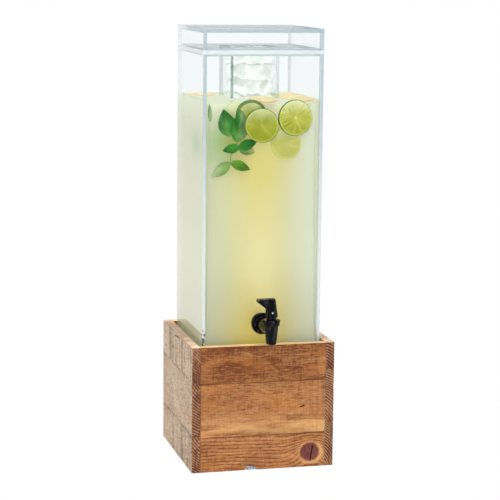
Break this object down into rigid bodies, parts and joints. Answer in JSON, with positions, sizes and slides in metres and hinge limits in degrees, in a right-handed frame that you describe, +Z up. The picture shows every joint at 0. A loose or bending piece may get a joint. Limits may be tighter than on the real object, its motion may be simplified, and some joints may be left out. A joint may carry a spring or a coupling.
{
  "type": "beverage dispenser with ice chamber",
  "caption": "Square clear-acrylic beverage dispenser with a hanging ice chamber and tray lid, standing in a reclaimed-wood crate, with a black lever tap low on its front panel.",
  "frame": {"origin": "centre of the crate's underside, on the surface that the dispenser stands on", "axes": "+Z up, -Y towards the front where the tap is, +X to the right as seen from the front"},
  "size_m": [0.21, 0.2623, 0.631],
  "materials": {
    "front_wood": "oiled reclaimed boards",
    "side_wood": "rough-sawn reclaimed boards",
    "inner_wood": "plain planed wood",
    "clear_acrylic": "clear polished sheet",
    "black_plastic": "glossy moulded",
    "black_rubber": "matt",
    "silicone": "satin",
    "steel": "bright pin"
  },
  "bodies": {
    "crate": {"front_board_bottom": "front_wood", "front_board_middle": "front_wood", "front_board_top": "front_wood", "back_board_bottom": "front_wood", "back_board_middle": "front_wood", "back_board_top": "front_wood", "left_board_bottom": "side_wood", "left_board_middle": "side_wood", "left_board_top": "side_wood", "right_board_bottom": "side_wood", "right_board_middle": "side_wood", "right_board_top": "side_wood", "shelf": "inner_wood", "cleat_left": "inner_wood", "cleat_right": "inner_wood"},
    "tank": {"tank_front": "clear_acrylic", "tank_back": "clear_acrylic", "tank_left": "clear_acrylic", "tank_right": "clear_acrylic", "tank_floor": "clear_acrylic", "tap_body": "black_plastic", "outer_washer": "black_rubber", "inner_washer": "black_rubber", "lock_nut": "black_plastic", "bonnet": "black_plastic"},
    "ice_chamber": {"chamber_flange": "clear_acrylic", "chamber_front": "clear_acrylic", "chamber_back": "clear_acrylic", "chamber_left": "clear_acrylic", "chamber_right": "clear_acrylic", "chamber_floor": "clear_acrylic"},
    "lid": {"lid_top": "clear_acrylic", "lid_front": "clear_acrylic", "lid_back": "clear_acrylic", "lid_left": "clear_acrylic", "lid_right": "clear_acrylic"},
    "seat_cup": {"seat_cup": "silicone"},
    "valve_stem": {"valve_stem": "black_plastic", "pivot_pin": "steel"},
    "lever": {"lever": "black_plastic"}
  },
  "joints": [
    {"name": "tank_lift", "type": "slide", "parent": "crate", "child": "tank", "axis": [0, 0, 1], "range_m": [0, 0.06]},
    {"name": "chamber_lift", "type": "slide", "parent": "tank", "child": "ice_chamber", "axis": [0, 0, 1], "range_m": [0, 0.36]},
    {"name": "lid_lift", "type": "slide", "parent": "ice_chamber", "child": "lid", "axis": [0, 0, 1], "range_m": [0, 0.08]},
    {"name": "valve_lift", "type": "slide", "parent": "tank", "child": "seat_cup", "axis": [0, 0, 1], "range_m": [0, 0.0024]},
    {"name": "stem_swivel", "type": "hinge", "parent": "seat_cup", "child": "valve_stem", "pos_m": [0, -0.1445, 0.22], "axis": [0, 0, 1], "continuous": true},
    {"name": "lever_tilt", "type": "hinge", "parent": "valve_stem", "child": "lever", "pos_m": [0, -0.1445, 0.2383], "axis": [0, -1, 0], "range_deg": [0, 45], "stiffness_Nm_per_rad": 0.15, "springref_deg": -11.46}
  ],
  "couplings": [
    {"joint": "lever_tilt", "follows": "valve_lift", "rad_per_m": 327.25}
  ]
}
